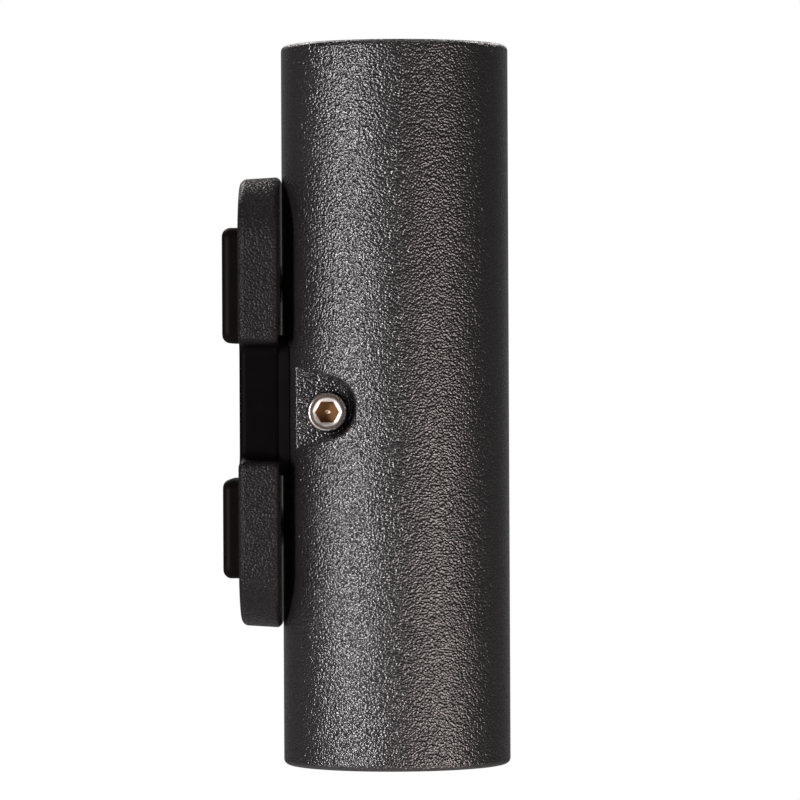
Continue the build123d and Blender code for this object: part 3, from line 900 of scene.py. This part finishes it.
def white_surroundings(studio):
    """White to the camera, dim to the lamp, and reflected only from the lamp's +X side."""
    world = bpy.data.worlds.new("white_surroundings")
    world.use_nodes = True
    tree = world.node_tree
    tree.nodes.clear()
    direction = add_node(tree, "ShaderNodeTexCoord", output="Generated")
    sideways = add_node(tree, "ShaderNodeSeparateXYZ", None, {0: direction}, "X")
    backdrop = sideways.step(start=0.8, end=0.97)
    seen = background_seen(tree, backdrop * studio.reflected)
    strength = studio.ambient + seen * (1 - studio.ambient)
    inputs = {"Color": WHITE, "Strength": strength}
    background = add_node(tree, "ShaderNodeBackground", None, inputs)
    add_node(tree, "ShaderNodeOutputWorld", None, {"Surface": background})
    return world


def add_softbox(name, power, colour, direction, distance, height, size):
    """A rectangular light that faces the lamp from a direction, an angle about Z in degrees."""
    light = bpy.data.lights.new(name, "AREA")
    light.shape = "RECTANGLE"
    light.size, light.size_y = size
    light.energy = power
    light.color = colour
    holder = bpy.data.objects.new(name, light)
    bpy.context.scene.collection.objects.link(holder)
    angle = radians(direction)
    holder.location = TUBE_MIDDLE + Vector((distance * cos(angle), distance * sin(angle), height))
    holder.rotation_euler = (TUBE_MIDDLE - holder.location).to_track_quat("-Z", "Y").to_euler()


def add_camera(studio):
    """The photograph's camera."""
    pixel = FILM_WIDTH / PICTURE_WIDTH / studio.lens * studio.distance
    aim = TUBE_MIDDLE + Vector((0, AIM_SHIFT_Y * pixel, AIM_SHIFT_Z * pixel))
    level = Vector((sin(studio.azimuth), -cos(studio.azimuth), 0))
    back = level * cos(CAMERA_TILT) + Vector((0, 0, sin(CAMERA_TILT)))
    lean = Matrix.Rotation(CAMERA_LEAN, 3, "Z").to_quaternion()
    camera = bpy.data.cameras.new("camera")
    camera.lens = studio.lens
    camera.sensor_width = FILM_WIDTH
    camera.clip_start = 0.05
    holder = bpy.data.objects.new("camera", camera)
    bpy.context.scene.collection.objects.link(holder)
    holder.location = aim + back * studio.distance
    holder.rotation_euler = (back.to_track_quat("Z", "Y") @ lean).to_euler()
    return holder


# Operators


class WALLLAMP_OT_castings(bpy.types.Operator):
    """Coat the tube and the wall base"""

    bl_idname = "wall_lamp.castings"
    bl_label = "Castings"

    def execute(self, context):
        finish = context.scene.wall_lamp_finish
        dress(tube_coat(finish), "head_housing")
        dress(base_coat(finish), "wall_base")
        return {"FINISHED"}


class WALLLAMP_OT_rubber(bpy.types.Operator):
    """Finish the feet, the grommet, the seals and the gaskets"""

    bl_idname = "wall_lamp.rubber"
    bl_label = "Rubber"

    def execute(self, context):
        foot = soft_surface(
            "foot_rubber",
            context.scene.wall_lamp_finish.rubber_colour,
            roughness=0.5,
            grain=0.0004,
            relief=0.00001,
            spread=0.25,
            specular=0.06,
        )
        seal = soft_surface(
            "seal_rubber",
            (0.0042, 0.0036, 0.0040),
            roughness=0.6,
            grain=0.0003,
            relief=0.00002,
            spread=0.2,
            specular=0.06,
        )
        silicone = soft_surface(
            "gasket_silicone",
            (0.23, 0.23, 0.225),
            roughness=0.5,
            grain=0.0005,
            relief=0.00001,
        )
        dress(foot, "upper_foot", "lower_foot")
        dress(seal, "cable_grommet", "tongue_seal", "left_screw_seal", "right_screw_seal")
        dress(silicone, "upper_gasket", "lower_gasket")
        return {"FINISHED"}


class WALLLAMP_OT_side_screws(bpy.types.Operator):
    """Model the two bright socket-head screws with their threads"""

    bl_idname = "wall_lamp.side_screws"
    bl_label = "Side screws"

    def execute(self, context):
        finish = context.scene.wall_lamp_finish
        steel = turned_steel(finish.steel_colour, roughness=0.2)
        # The brown steel in the socket and groove paints their shade and a warm reflection.
        socket = metal_surface(
            "shaded_socket_steel",
            finish.socket_shade_colour,
            roughness=0.4,
            streak=0.0004,
            relief=0.00002,
            blotch_size=0.0012,
        )
        # Paler, rougher steel on the bevel round the socket and in the drill pit.
        pale_bevel = metal_surface(
            "pale_bevel_steel",
            (0.98, 0.93, 0.87),
            roughness=0.42,
            streak=0.0005,
            relief=0.00002,
            blotch_size=0.002,
        )
        for side in ("right", "left"):
            shape = side_screw_shape(context.scene.wall_lamp_screw)
            mark_side_screw(shape)
            add_piece(
                f"{side}_socket_screw",
                shape,
                sideward(side),
                finishes=[steel, socket, pale_bevel],
                body=f"{side}_screw",
                node=f"{side}_side_screw",
            )
        return {"FINISHED"}


class WALLLAMP_OT_bulbs(bpy.types.Operator):
    """Model the two reflector bulbs and their lenses"""

    bl_idname = "wall_lamp.bulbs"
    bl_label = "Bulbs"

    def execute(self, context):
        shell = soft_surface(
            "bulb_shell",
            (0.74, 0.74, 0.72),
            roughness=0.38,
            grain=0.0008,
            relief=0.000006,
            spread=0.03,
        )
        source = phosphor()
        clear = glass_surface("bulb_lens", (0.85, 0.86, 0.86), alpha=0.16, roughness=0.06)
        pin = metal_surface("nickel_pin", (0.68, 0.66, 0.62), roughness=0.25)
        bulb = context.scene.wall_lamp_bulb
        for end in ENDS:
            shape = bulb_body_shape(bulb)
            mark_source(shape)
            add_piece(
                f"{end}_ribbed_bulb",
                shape,
                upward(end),
                finishes=[shell, source],
                body=f"{end}_bulb",
                node=f"{end}_bulb_body",
            )
            add_piece(
                f"{end}_rippled_lens",
                lens_shape(bulb),
                upward(end),
                finishes=[clear],
                body=f"{end}_bulb",
                node=f"{end}_bulb_lens",
            )
            dress(pin, f"{end}_bulb_pins")
        return {"FINISHED"}


class WALLLAMP_OT_covers(bpy.types.Operator):
    """Model the two glasses and coat their retaining rings"""

    bl_idname = "wall_lamp.covers"
    bl_label = "Covers"

    def execute(self, context):
        clear = glass_surface("clear_glass", (0.32, 0.42, 0.38), alpha=0.04, roughness=0.01)
        coat = soft_surface(
            "ring_coat",
            (0.016, 0.0155, 0.016),
            roughness=0.42,
            grain=0.0006,
            relief=0.00005,
        )
        for end in ENDS:
            add_piece(
                f"{end}_ground_glass",
                glass_shape(),
                upward(end),
                finishes=[clear],
                body=f"{end}_cover",
                node=f"{end}_glass",
            )
            dress(coat, f"{end}_ring")
        return {"FINISHED"}


class WALLLAMP_OT_fittings(bpy.types.Operator):
    """Finish the straps, screws, holders, terminal block and leads"""

    bl_idname = "wall_lamp.fittings"
    bl_label = "Fittings"

    def execute(self, context):
        zinc = metal_surface(
            "zinc_screw",
            (0.62, 0.63, 0.64),
            roughness=0.28,
            tarnish=(0.60, 0.55, 0.44),
        )
        strap = metal_surface(
            "zinc_strap",
            (0.58, 0.59, 0.60),
            roughness=0.36,
            streak=0.0008,
            relief=0.00001,
            blotch_size=0.006,
        )
        ceramic = soft_surface(
            "ceramic",
            (0.76, 0.73, 0.66),
            roughness=0.3,
            grain=0.0009,
            relief=0.00001,
            spread=0.05,
        )
        block = soft_surface(
            "terminal_plastic",
            (0.70, 0.70, 0.67),
            roughness=0.45,
            grain=0.0005,
            relief=0.000008,
            spread=0.04,
        )
        sleeve = soft_surface(
            "lead_sleeve",
            (0.62, 0.60, 0.55),
            roughness=0.55,
            grain=0.0003,
            relief=0.00001,
            spread=0.08,
        )
        brass = metal_surface("brass_screw", (0.72, 0.52, 0.22), roughness=0.25)
        tinned = metal_surface("tinned_brass", (0.64, 0.62, 0.56), roughness=0.3)
        dress(zinc, "base_earth_screw", "head_earth_screw", "terminal_fixing_screws")
        dress(zinc, "bracket_screws", "holder_screws")
        dress(strap, "upper_bracket", "lower_bracket")
        dress(ceramic, "upper_lampholder", "lower_lampholder")
        dress(block, "terminal_block")
        dress(sleeve, "upper_leads", "lower_leads")
        dress(brass, "terminal_screws")
        dress(tinned, "earth_tag")
        dress(earth_sleeve(), "earth_lead")
        return {"FINISHED"}


class WALLLAMP_OT_studio(bpy.types.Operator):
    """Set up the floor, the lights, the surroundings and the camera"""

    bl_idname = "wall_lamp.studio"
    bl_label = "Studio"

    def execute(self, context):
        studio = context.scene.wall_lamp_studio
        add_floor(studio)
        self.add_lights(studio)
        context.scene.world = white_surroundings(studio)
        context.scene.camera = add_camera(studio)
        context.scene.view_settings.view_transform = "Standard"
        return {"FINISHED"}

    def add_lights(self, studio):
        """Five softboxes round the lamp."""
        cool = (1, 0.95, 0.97)
        warm = (1, 0.87, 0.83)
        plain = (1, 0.95, 0.93)
        add_softbox(
            "wall_side_softbox",
            studio.wall_side_light,
            colour=cool,
            direction=135.5,
            distance=1.2,
            height=0.0,
            size=(0.2, 0.56),
        )
        add_softbox(
            "front_softbox",
            studio.front_light,
            colour=warm,
            direction=224,
            distance=0.85,
            height=-0.34,
            size=(0.44, 0.28),
        )
        for name, direction in (("far_front_softbox", -28), ("far_wall_softbox", 28)):
            add_softbox(
                name,
                studio.far_light,
                colour=plain,
                direction=direction,
                distance=1.0,
                height=0.75,
                size=(0.4, 0.4),
            )
        add_softbox(
            "overhead_softbox",
            studio.overhead_light,
            colour=plain,
            direction=-90,
            distance=0.08,
            height=0.9,
            size=(0.5, 0.5),
        )


OPERATORS = (
    WALLLAMP_OT_castings,
    WALLLAMP_OT_rubber,
    WALLLAMP_OT_side_screws,
    WALLLAMP_OT_bulbs,
    WALLLAMP_OT_covers,
    WALLLAMP_OT_fittings,
    WALLLAMP_OT_studio,
)
GROUPS = {
    "wall_lamp_finish": WallLampFinish,
    "wall_lamp_screw": WallLampScrew,
    "wall_lamp_bulb": WallLampBulb,
    "wall_lamp_studio": WallLampStudio,
}


class WALLLAMP_PT_sidebar(bpy.types.Panel):
    """Lists the lamp's operators and values"""

    bl_idname = "WALLLAMP_PT_sidebar"
    bl_label = "Wall Lamp"
    bl_space_type = "VIEW_3D"
    bl_region_type = "UI"
    bl_category = "Wall Lamp"

    def draw(self, context):
        for operator in OPERATORS:
            self.layout.operator(operator.bl_idname)
        for name, group in GROUPS.items():
            values = getattr(context.scene, name)
            for field in group.__annotations__:
                self.layout.prop(values, field)


def register():
    for group in GROUPS.values():
        bpy.utils.register_class(group)
    for name, group in GROUPS.items():
        setattr(bpy.types.Scene, name, PointerProperty(type=group))
    for operator in OPERATORS:
        bpy.utils.register_class(operator)
    bpy.utils.register_class(WALLLAMP_PT_sidebar)


def unregister():
    bpy.utils.unregister_class(WALLLAMP_PT_sidebar)
    for operator in reversed(OPERATORS):
        bpy.utils.unregister_class(operator)
    for name, group in GROUPS.items():
        delattr(bpy.types.Scene, name)
        bpy.utils.unregister_class(group)


def main():
    """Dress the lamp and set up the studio."""
    register()
    bpy.ops.wall_lamp.castings()
    bpy.ops.wall_lamp.rubber()
    bpy.ops.wall_lamp.side_screws()
    bpy.ops.wall_lamp.bulbs()
    bpy.ops.wall_lamp.covers()
    bpy.ops.wall_lamp.fittings()
    bpy.ops.wall_lamp.studio()


if __name__ == "__main__":
    main()
